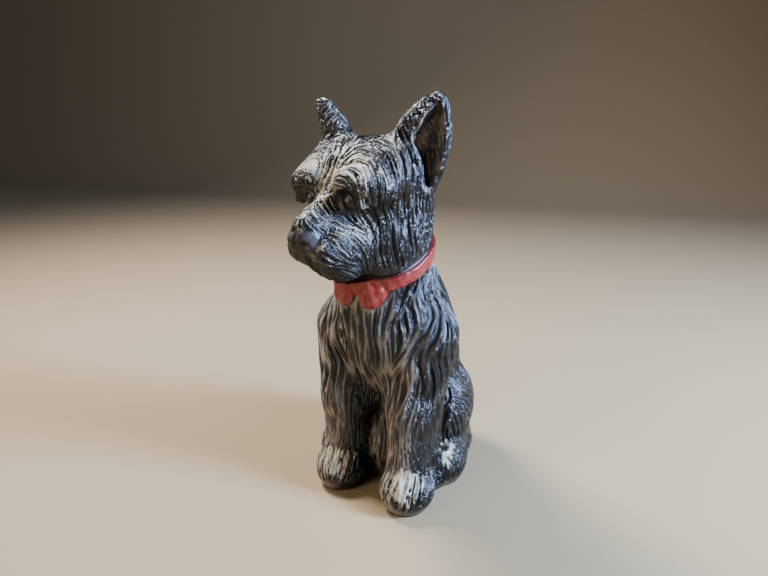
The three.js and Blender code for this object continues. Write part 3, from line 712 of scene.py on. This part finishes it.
def sink(grooves, half_width):
    """How far each skin point is down the nearest groove, 1 at the bottom and 0 on a crest, and its place
    across the groove."""
    points = np.concatenate([g[0] for g in grooves])
    facing = np.concatenate([g[1] for g in grooves])
    depth = np.concatenate([np.full(len(g[0]), g[2]) for g in grooves])
    first = np.concatenate([np.arange(len(g[0])) for g in grooves])
    last = np.concatenate([np.arange(len(g[0]))[::-1] for g in grooves])
    nearest = nearest_groove_point(points, facing)

    best = np.full(len(skin), np.inf)
    place, side = np.zeros(len(skin)), np.zeros(len(skin))
    for way in (-1, 1):
        ends = last if way > 0 else first
        other = np.where(ends[nearest] > 0, nearest + way, nearest)
        run = points[other] - points[nearest]
        long = np.maximum(np.linalg.norm(run, axis=1), 1e-9)
        run /= long[:, None]
        off = skin - points[nearest]
        share = np.clip((off * run).sum(1) / long, 0, 1)
        off -= run * (share * long)[:, None]
        off -= facing[nearest] * (off * facing[nearest]).sum(1)[:, None]
        far = np.linalg.norm(off, axis=1)
        closer = far < best
        best[closer] = far[closer]
        place[closer] = (first[nearest] + way * share)[closer]
        side[closer] = (way * (off * np.cross(facing[nearest], run)).sum(1))[closer]
    total = first[nearest] + last[nearest]
    s = np.clip(place / total, 0, 1)
    fade = np.clip(np.minimum(GOES_IN * s, RUNS_OUT * (1 - s)), 0, 1)
    signed = best * np.where(side > 0, 1, -1)
    same_face = (outward * facing[nearest]).sum(1) > SAME_FACE
    u = best / (half_width * np.where(side > 0, 1 - SLANT, 1 + SLANT))
    return depth[nearest] * fade * same_face * np.clip(1 - u, 0, 1) ** ROUNDNESS, signed


HALF_WIDTH = 0.62  # of the distance between grooves, so they just overlap
lock, _ = sink(locks, HALF_WIDTH * apart)
strand, across = sink(strands, HALF_WIDTH * apart / FINER)
print("in a lock groove", round(100 * float((lock > 0).mean())), "% of the skin points")

# %% [markdown]
# The relief adds up: the crests of the locks stand out a little, their grooves are cut deep, and strands
# are cut finer between them. Hands left small lumps in the clay of the nose, the collar and the ears' rims,
# and the bow is gathered in upright folds.

# %% Press the relief into the skin
LOCK_CREST, LOCK_CUT = 0.25, 1.35
STRAND_CUT, STRAND_ANYWHERE = 0.38, 0.4
GATHER = 2.3


def lumps(p, size):
    """Smooth unevenness about size across, from -1 to 1, as hands leave it in clay."""
    waves = np.random.default_rng(4).normal(size=(14, 4))
    total = sum(np.sin(p @ wave[:3] * 2.5 / size + 9 * wave[3]) for wave in waves)
    return np.clip(total / 4, -1, 1)


x, y, z = skin.T
hx, hf = head_frame(x, y)
share = head_share(x, y, z)
on_collar = (1 - smooth(-0.3, 0.1, collar_outline(x, y, z))) * near_collar(z)
ear_rim = share * smooth(86, 90, z) * (1 - smooth(0.4, 1.2, np.abs(ear_cup(hx, hf, z) - 0.4)))
relief = deep * (LOCK_CREST - LOCK_CUT * lock) - calm * STRAND_CUT * (STRAND_ANYWHERE + deep) * strand
on_nose = share * (1 - smooth(0.1, 0.6, nose_pad(hx, hf, z)))
relief += 0.14 * on_nose * lumps(skin, 1)
uneven = 0.04 * lumps(skin, 3) + 0.16 * on_collar * lumps(skin, 1.5)
relief += uneven + 0.12 * ear_rim * lumps(skin, 1.1)
on_bow = on_collar * smooth(0.3, -0.8, bow_lobes(x, y, z)) * (y < BOW_FRONT)
relief += 0.22 * on_bow * np.cos(GATHER * (x - BOW_PLACE) + 0.5 * z)
standing = skin[:, 2] > FOOT
shaped = skin + outward * (relief * standing)[:, None]
shaped[:, 2] = np.where(standing, np.maximum(shaped[:, 2], 0.02), 0)
print("deepest groove in mm", round(-1000 * UNIT * relief.min(), 1))

# %% [markdown]
# The painter worked by place: red on the collar, brown and black in the eyes, near black in the ears.
# Each of those places is kept with the skin as a number from 0 to 1, so the paint knows where to go,
# however the figure is lit or turned. The grooves are kept too, with the distance in mm across the
# nearest strand.

# %% Mark the small places
eye_off = length(np.abs(hx) - EYE[0], hf - EYE[1], z - EYE[2])
gaze_off = length(np.abs(hx) - EYE[0] - 0.2, 0, z - EYE[2] + 0.1)
marks = {
    "lock": lock * np.clip(1.4 * deep, 0, 1),
    "strand": strand * calm,
    "across": across * 1000 * UNIT,
    "hairy": calm,
    "collar": (1 - smooth(-0.15, 0.2, collar_outline(x, y, z))) * near_collar(z),
    "eye": share * (1 - smooth(EYEBALL + 0.05, EYEBALL + 0.3, eye_off)),
    "iris": share * (1 - smooth(1.0, 1.2, gaze_off)),
    "nose": share * (1 - smooth(0.1, 0.3, nose_pad(hx, hf, z))),
    "cup": share * (1 - smooth(-0.1, 0.5, ear_cup(hx, hf, z))) * smooth(0.5, 1.5, skull(hx, hf, z)),
}
for name in ("collar", "eye", "nose", "cup"):
    print(name, round(100 * float(marks[name].mean()), 1), "% of the skin points")

# %% [markdown]
# The cream brush went heavily over the tops of the paws, the forehead and the bridge of the nose, and
# lightly over the spine and the ears. The extra cream on whatever faces up, most on the top of the bridge,
# is a painted highlight, as light from above gives. A brown-grey layer on the front and the right of the
# trunk is partly dust and partly painted bounce light, heavier on the right, away from the cool lamp. The
# eye sockets and the chin get painted shade in near black.

# %% Mark the cream, the dust with painted bounce light, and the painted highlight and shade
HEAVY = 2.3
forehead = share * smooth(79, 84, z) * smooth(6, 12, hf)
bridge = share * smooth(12, 17, hf) * smooth(63, 68, z) * smooth(0.3, 1.4, nose_pad(hx, hf, z))
paw_tops = (
    egg(np.abs(x) - PAW[0], y + 20.5 + STRIDE * np.sign(x), z - 7, 4.6, 6.3, 4.2),
    egg(np.abs(x) - 16.2, y + 7, z - 7.5, 2.4, 4, 3),
)
paw = smooth(-0.3, 0.4, outward[:, 2]) * (1 - smooth(-1.6, 2.7, np.minimum(*paw_tops)))
spine = smooth(-2, 5, y) * smooth(30, 44, z) * (1 - share)
rim = share * smooth(88, 92, z)
# How much a place faces up; the cream it adds there is a painted highlight.
upward = smooth(0.1, 0.9, outward[:, 2])
# Painted shade round the eyes, under the brows, which also keeps the cream off.
socket = share * (1 - smooth(2.4, 4.4, eye_off))
cream_and_highlight = 0.58 * forehead + (0.72 + 0.3 * upward) * bridge + HEAVY * paw
cream_and_highlight = cream_and_highlight + 0.12 * spine + 0.3 * rim + 0.15 * upward + 0.1
marks["cream_and_highlight"] = np.clip(cream_and_highlight, 0, HEAVY) * (1 - socket)
# Dust and painted bounce light: a brown-grey layer on what faces the front and the dog's right.
facing_away = -0.8 * outward[:, 1] - 0.6 * outward[:, 0]
marks["dust_and_bounce_light"] = smooth(0.3, 0.85, facing_away) * (1 - share) * (1 - 0.5 * paw)
# Heavier on the dog's right, which faces away from the cool lamp: painted bounce light.
marks["dust_and_bounce_light"] *= 1 + 0.6 * smooth(0.1, 0.7, -outward[:, 0])
# Painted shade: near black in the eye sockets and under the muzzle at the chin.
marks["shade"] = np.maximum(socket, share * smooth(10, 14, hf) * (1 - smooth(63, 66, z)))
for name in ("cream_and_highlight", "dust_and_bounce_light", "shade"):
    print(name, round(100 * float((marks[name] > 0.5).mean()), 1), "% of the skin points")

# %% [markdown]
# The figure is fitted to the solid's own box, so it stands exactly where the solid does. A mesh is filled
# from whole arrays, which is far quicker than adding its points one by one.

# %% Make the mesh
def make_mesh(name, points, polygons):
    mesh = bpy.data.meshes.new(name)
    mesh.vertices.add(len(points))
    mesh.vertices.foreach_set("co", points.astype(np.float32).ravel())
    mesh.loops.add(polygons.size)
    mesh.loops.foreach_set("vertex_index", polygons.astype(np.int32).ravel())
    mesh.polygons.add(len(polygons))
    mesh.polygons.foreach_set("loop_start", np.arange(0, polygons.size, polygons.shape[1], dtype=np.int32))
    mesh.update(calc_edges=True)
    return mesh


shaped_low, shaped_high = shaped.min(0), shaped.max(0)
fit = (np.array(frame_high) - np.array(frame_low)) / (shaped_high - shaped_low)


def to_frame(p):
    """A point of the sculpture, in hundredths of its height, in the frame's metres."""
    return np.array(frame_low) + (np.array(p) - shaped_low) * fit


mesh = make_mesh("terrier_casting", to_frame(shaped), squares)
for name, values in marks.items():
    mesh.attributes.new(name, "FLOAT", "POINT").data.foreach_set("value", values.astype(np.float32))
print("squares", len(mesh.polygons), "marks", len(marks))

# %% [markdown]
# The skin has more points than a smooth place needs. Blender's Decimate modifier closes the short edges
# where that changes the shape least, so flat places get few triangles and the grooves keep theirs. It can
# push a point a hair's breadth out of the solid's box, so the points are held to it afterwards.

# %% Make the piece
MOST_TRIANGLES = 190000
statue = bpy.data.objects.new("terrier_casting", mesh)
bpy.context.scene.collection.objects.link(statue)
bpy.context.view_layer.objects.active = statue
statue.select_set(True)
bpy.ops.object.modifier_add(type="DECIMATE")
statue.modifiers["Decimate"].ratio = MOST_TRIANGLES / (2 * len(squares))
statue.modifiers["Decimate"].use_collapse_triangulate = True
bpy.ops.object.modifier_apply(modifier="Decimate")
statue.data.shade_smooth()
points = np.empty(3 * len(statue.data.vertices), np.float32)
statue.data.vertices.foreach_get("co", points)
points = np.clip(points.reshape(-1, 3), frame_low, frame_high)
statue.data.vertices.foreach_set("co", points.ravel())
statue.data.update()
print("triangles", len(statue.data.polygons), "points", len(points))
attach(statue, "root")
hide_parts("dog_statue")

# %% [markdown]
# Finishes are node graphs. One small function adds any node and joins it up; another turns the hex colours
# that painters and web pages use into the linear light that a shader works in.

# %% Finish tools
MIX_A, MIX_B, MIX_OUT = 6, 7, 2  # the colour sockets of a Mix node come after its plain number sockets


def linear(text):
    """sRGB hex to linear colour."""
    parts = [int(text[i : i + 2], 16) / 255 for i in (1, 3, 5)]
    return tuple(v / 12.92 if v <= 0.04045 else ((v + 0.055) / 1.055) ** 2.4 for v in parts) + (1,)


def add(kind, inputs=(), out=0, **settings):
    """Adds a node with its settings, joins it to the outputs among its inputs, and gives its own output."""
    made = tree.nodes.new(kind)
    for name, value in settings.items():
        setattr(made, name, value)
    for socket, value in dict(inputs).items():
        if isinstance(value, bpy.types.NodeSocket):
            tree.links.new(value, made.inputs[socket])
        else:
            made.inputs[socket].default_value = value
    return made.outputs[out] if made.outputs else made


print("cream in linear light", [round(v, 3) for v in linear("#b8ae93")])

# %% [markdown]
# The paint needs to know three things at each point: the places marked on the skin, some unevenness of
# several sizes, and the strands of hair. Unevenness is noise scaled in real millimetres: 22 mm where the
# paint went on thick or thin, 6 mm where the dry brush skipped, 3 mm for dabs of a small brush, and
# 1.1 mm for the grain of the concrete. The real grain is nearer 0.3 mm, and is drawn as coarse as it needs
# to be to show. Strands are 0.9 mm wide, and vary quickly across the hair and slowly along it.
# The noise for the strands is laid out by the distance across the hair, so it follows every curve.

# %% Patterns under the paint
STRAND_MM, ALONG_MM = 0.9, 20
STRAND_DOWN, LOCK_DOWN = 1.5, 1.6
paint = bpy.data.materials.new("satin_black_paint_on_cast_concrete")
paint.use_nodes = True
tree = paint.node_tree
tree.nodes.clear()
where = add("ShaderNodeTexCoord", out="Object")
mm = add("ShaderNodeVectorMath", {0: where, 1: (1000, 1000, 1000)}, operation="MULTIPLY")
mark = {name: add("ShaderNodeAttribute", out="Fac", attribute_name=name) for name in marks}
noise = {}
for name, size, detail in (("blotch", 22, 3), ("patch", 6, 4), ("dab", 3, 3), ("grain", 1.1, 3)):
    spread = {"Vector": mm, "Scale": 1 / size, "Detail": detail, "Roughness": 0.6}
    noise[name] = add("ShaderNodeTexNoise", spread, out="Fac")
quick = add("ShaderNodeMath", {0: mark["across"], 1: STRAND_MM}, operation="DIVIDE")
slow = [
    add("ShaderNodeVectorMath", {0: mm, 1: axis}, out="Value", operation="DOT_PRODUCT")
    for axis in ((1 / ALONG_MM, 1 / ALONG_MM, 0), (0, 0, 1 / ALONG_MM))
]
hair = add("ShaderNodeCombineXYZ", {0: quick, 1: slow[0], 2: slow[1]})
spread = {"Vector": hair, "Scale": 1.0, "Detail": 2.5, "Roughness": 0.65}
noise["strand"] = add("ShaderNodeTexNoise", spread, out="Fac")
# How deep in a groove; the colour is darkened there as painted shade, and the cream misses it.
down = add("ShaderNodeMath", {0: mark["strand"], 1: STRAND_DOWN}, operation="MULTIPLY")
down = add("ShaderNodeMath", {0: mark["lock"], 1: LOCK_DOWN, 2: down}, operation="MULTIPLY_ADD")
crest = add("ShaderNodeMath", {0: 1.0, 1: down}, operation="SUBTRACT", use_clamp=True)
print("patterns", sorted(noise))

# %% [markdown]
# The black is satin masonry paint. The grooves are painted blacker still, which is painted shade. A
# brown-grey layer on the chest, the shins and the dog's right is partly dust and partly painted bounce
# light, so there it looks dull and brown-grey.
# The cream is dry-brushed: a nearly dry brush is dragged over the high places, so it catches crests, misses
# grooves, and breaks up along the strands. How far it covers is a sum, how heavily that place was brushed
# and how high the strand stands, and the paint shows where the sum passes a threshold. Where it is heavier
# on what faces up, it is a painted highlight. It never hides all of the black.

# %% Black and cream
NOISE_MIDDLE = 0.5
LEAST_DUST_AND_BOUNCE = 0.2
THRESHOLD = 0.62
STRAND_BREAK, PATCH_BREAK, GROOVE_BREAK = 3.2, 1.2, 1.2
EDGE = 1.9
MOST_COVER = 0.85
dust_and_bounce_light = add("ShaderNodeMath", {0: noise["blotch"], 1: LEAST_DUST_AND_BOUNCE}, operation="ADD")
dust_and_bounce_light = add("ShaderNodeMath", {0: dust_and_bounce_light, 1: mark["dust_and_bounce_light"]}, operation="MULTIPLY")
dust_and_bounce_seen = add("ShaderNodeMath", {0: dust_and_bounce_light, 1: crest}, operation="MULTIPLY")
cover = add("ShaderNodeMath", {0: mark["cream_and_highlight"], 1: THRESHOLD}, operation="SUBTRACT")
for name, weight in (("strand", STRAND_BREAK), ("patch", PATCH_BREAK)):
    off = add("ShaderNodeMath", {0: noise[name], 1: NOISE_MIDDLE}, operation="SUBTRACT")
    cover = add("ShaderNodeMath", {0: off, 1: weight, 2: cover}, operation="MULTIPLY_ADD")
cover = add("ShaderNodeMath", {0: down, 1: -GROOVE_BREAK, 2: cover}, operation="MULTIPLY_ADD")
cream_and_highlight_cover = add("ShaderNodeMath", {0: cover, 1: EDGE}, operation="MULTIPLY", use_clamp=True)
cream_and_highlight_seen = add("ShaderNodeMath", {0: cream_and_highlight_cover, 1: MOST_COVER}, operation="MULTIPLY")
cream = {0: noise["blotch"], MIX_A: linear("#786d54"), MIX_B: linear("#b8ae93")}
cream = add("ShaderNodeMix", cream, out=MIX_OUT, data_type="RGBA")
colour = {0: noise["blotch"], MIX_A: linear("#09090b"), MIX_B: linear("#131110")}
colour = add("ShaderNodeMix", colour, out=MIX_OUT, data_type="RGBA")
# Layers: dust and painted bounce light, painted groove shade, cream and highlight, painted shade.
for share_seen, layer in (
    (dust_and_bounce_seen, linear("#85796c")),
    (down, linear("#040404")),
    (cream_and_highlight_seen, cream),
    (mark["shade"], linear("#0b0908")),
):
    layers = {0: share_seen, MIX_A: colour, MIX_B: layer}
    colour = add("ShaderNodeMix", layers, out=MIX_OUT, data_type="RGBA", clamp_factor=True)
print("nodes so far", len(tree.nodes))

# %% [markdown]
# The insides of the ears, the nose, the collar and the eyes were painted with a small brush, each in two
# tones of one colour: black with brown streaks, warm black, red in dabs, and near black with a brown iris.
# Noise is spread by a contrast and shifted, so that streaks and dabs have clear edges.

# %% Small places
spread = {}
for name, contrast, shift in (("strand", 5.5, -2.6), ("dab", 2.4, -0.7)):
    wider = {0: noise[name], 1: contrast, 2: shift}
    spread[name] = add("ShaderNodeMath", wider, operation="MULTIPLY_ADD", use_clamp=True)
for name, tone, first_colour, second_colour in (
    ("cup", spread["strand"], "#040303", "#a08c79"),
    ("nose", noise["grain"], "#0f0b0a", "#2e2420"),
    ("collar", spread["dab"], "#561312", "#8e2d27"),
    ("eye", mark["iris"], "#050404", "#1d0e09"),
):
    tones = {0: tone, MIX_A: linear(first_colour), MIX_B: linear(second_colour)}
    tones = add("ShaderNodeMix", tones, out=MIX_OUT, data_type="RGBA")
    layers = {0: mark[name], MIX_A: colour, MIX_B: tones}
    colour = add("ShaderNodeMix", layers, out=MIX_OUT, data_type="RGBA", clamp_factor=True)
print("nodes so far", len(tree.nodes))

# %% [markdown]
# Acrylic paint has an IOR near 1.5. Fresh satin paint has a roughness of 0.3 to 0.4. On this casting the
# crests are polished by handling to about 0.16, which gives each lock a crisp light of its own. The layer
# of dust and painted bounce light, cream, the nose and the bottoms of grooves are duller. The strands and
# the grain of the concrete are too fine to be modelled, so they are a bump under 1.2 mm high.

# %% Shine and fine relief
SHINE_CHANGE, SHINIEST, LEAST_ROUGH = 0.12, 0.1, 0.12
STRAND_BUMP, GRAIN_BUMP = -0.9, 0.35
BUMP_METRES = 0.0012
shine = {0: noise["blotch"], 1: SHINE_CHANGE, 2: SHINIEST}
shine = add("ShaderNodeMath", shine, operation="MULTIPLY_ADD")
for what, rougher in (
    (mark["lock"], 0.3),
    (dust_and_bounce_light, 0.35),
    (cream_and_highlight_cover, 0.1),
    (mark["cup"], 0.35),
    (mark["collar"], -0.04),
    (mark["nose"], 0.6),
    (mark["shade"], 0.3),
    (mark["eye"], -0.12),
):
    shine = add("ShaderNodeMath", {0: what, 1: rougher, 2: shine}, operation="MULTIPLY_ADD")
shine = add("ShaderNodeMath", {0: shine, 1: LEAST_ROUGH}, operation="MAXIMUM", use_clamp=True)
relief_seen = add("ShaderNodeMath", {0: noise["strand"], 1: mark["hairy"]}, operation="MULTIPLY")
for what, height in ((mark["strand"], STRAND_BUMP), (noise["grain"], GRAIN_BUMP)):
    relief_seen = add("ShaderNodeMath", {0: what, 1: height, 2: relief_seen}, operation="MULTIPLY_ADD")
bump = {"Height": relief_seen, "Strength": 0.9, "Distance": BUMP_METRES}
bump = add("ShaderNodeBump", bump, out="Normal")
finish = {"Base Color": colour, "Roughness": shine, "IOR": 1.5, "Normal": bump}
finish = add("ShaderNodeBsdfPrincipled", finish, out="BSDF")
add("ShaderNodeOutputMaterial", {"Surface": finish})
statue.data.materials.append(paint)
print(paint.name, "has", len(tree.nodes), "nodes")

# %% [markdown]
# The stage is a plain pale sweep: a floor that curves up into a wall behind, as a photographer hangs paper.
# It isn't part of the figure.

# %% Stage
SWEEP_WIDTH, SWEEP_FRONT, SWEEP_BACK, SWEEP_BEND, SWEEP_TOP = 16.0, -5.0, 2.2, 1.2, 6.0
profile = [(SWEEP_FRONT, 0.0), (SWEEP_BACK, 0.0)]
for turn in np.linspace(0, math.pi / 2, 12)[1:]:
    profile.append((SWEEP_BACK + SWEEP_BEND * math.sin(turn), SWEEP_BEND * (1 - math.cos(turn))))
profile.append((SWEEP_BACK + SWEEP_BEND, SWEEP_TOP))
corners = np.array([(side * SWEEP_WIDTH / 2, y, z) for y, z in profile for side in (-1, 1)])
rows = np.array([(2 * i, 2 * i + 1, 2 * i + 3, 2 * i + 2) for i in range(len(profile) - 1)])
sweep = bpy.data.objects.new("studio_sweep", make_mesh("studio_sweep", corners, rows))
bpy.context.scene.collection.objects.link(sweep)
sweep.data.shade_smooth()
paper = bpy.data.materials.new("matte_background_paper")
paper.use_nodes = True
paper.node_tree.nodes["Principled BSDF"].inputs["Base Color"].default_value = linear("#85704f")
paper.node_tree.nodes["Principled BSDF"].inputs["Roughness"].default_value = 0.9
sweep.data.materials.append(paper)
print("the sweep has", len(rows), "strips")

# %% [markdown]
# The camera stands ahead and to the dog's left, a little below the tips of its ears, and looks down 15
# degrees, as one does at a small figure on a step. The lens is a short one, from quite near: the figure
# takes up less than half of the picture's width.

# %% Camera
CAMERA_PLACE = (50.4, -141.9, 92.6)
CAMERA_PITCH = math.radians(15.4)
CAMERA_YAW = math.radians(21)
PICTURE_WIDTH_PX, FOCAL_PX = 768, 577
camera = bpy.data.objects.new("camera", bpy.data.cameras.new("camera"))
camera.data.sensor_width = 36
camera.data.lens = camera.data.sensor_width * FOCAL_PX / PICTURE_WIDTH_PX
camera.location = to_frame(CAMERA_PLACE)
camera.rotation_euler = (math.pi / 2 - CAMERA_PITCH, 0, CAMERA_YAW)
bpy.context.scene.collection.objects.link(camera)
bpy.context.scene.camera = camera
print("camera at", [round(v, 3) for v in camera.location])

# %% [markdown]
# Three softboxes light it. A tall, narrow, cool one stands to the dog's left, like the sky through a
# doorway, and lays the bluish sheen along that side. A wide, weak, warm one in front, on its right, opens
# the shadows of the chest. A small one hangs above and behind its right ear, and puts the highlights on
# the crown, the brows and the paws. A faint even light stands for the rest of the room.

# %% Lights
WORLD_STRENGTH = 0.12


def softbox(name, place, target, size, power, colour):
    light = bpy.data.lights.new(name, "AREA")
    light.shape = "RECTANGLE"
    light.size, light.size_y = size
    light.energy = power
    light.color = linear(colour)[:3]
    box = bpy.data.objects.new(name, light)
    box.location = place
    box.rotation_euler = (Vector(target) - Vector(place)).to_track_quat("-Z", "Y").to_euler()
    bpy.context.scene.collection.objects.link(box)


MIDDLE = (0, 0, 0.2)
softbox("sky_softbox", (1.4, 0.02, 0.78), MIDDLE, (0.35, 0.8), 225, "#accaff")
softbox("front_softbox", (-0.9, -1.5, 0.9), MIDDLE, (0.8, 0.8), 26, "#ffedd8")
softbox("top_softbox", (-0.85, 0.25, 1.4), MIDDLE, (0.4, 0.4), 85, "#eef3ff")
world = bpy.data.worlds.new("studio")
world.use_nodes = True
world.node_tree.nodes["Background"].inputs[0].default_value = linear("#dfe3e8")
world.node_tree.nodes["Background"].inputs[1].default_value = WORLD_STRENGTH
bpy.context.scene.world = world
print("lights", [light.name for light in bpy.data.lights])
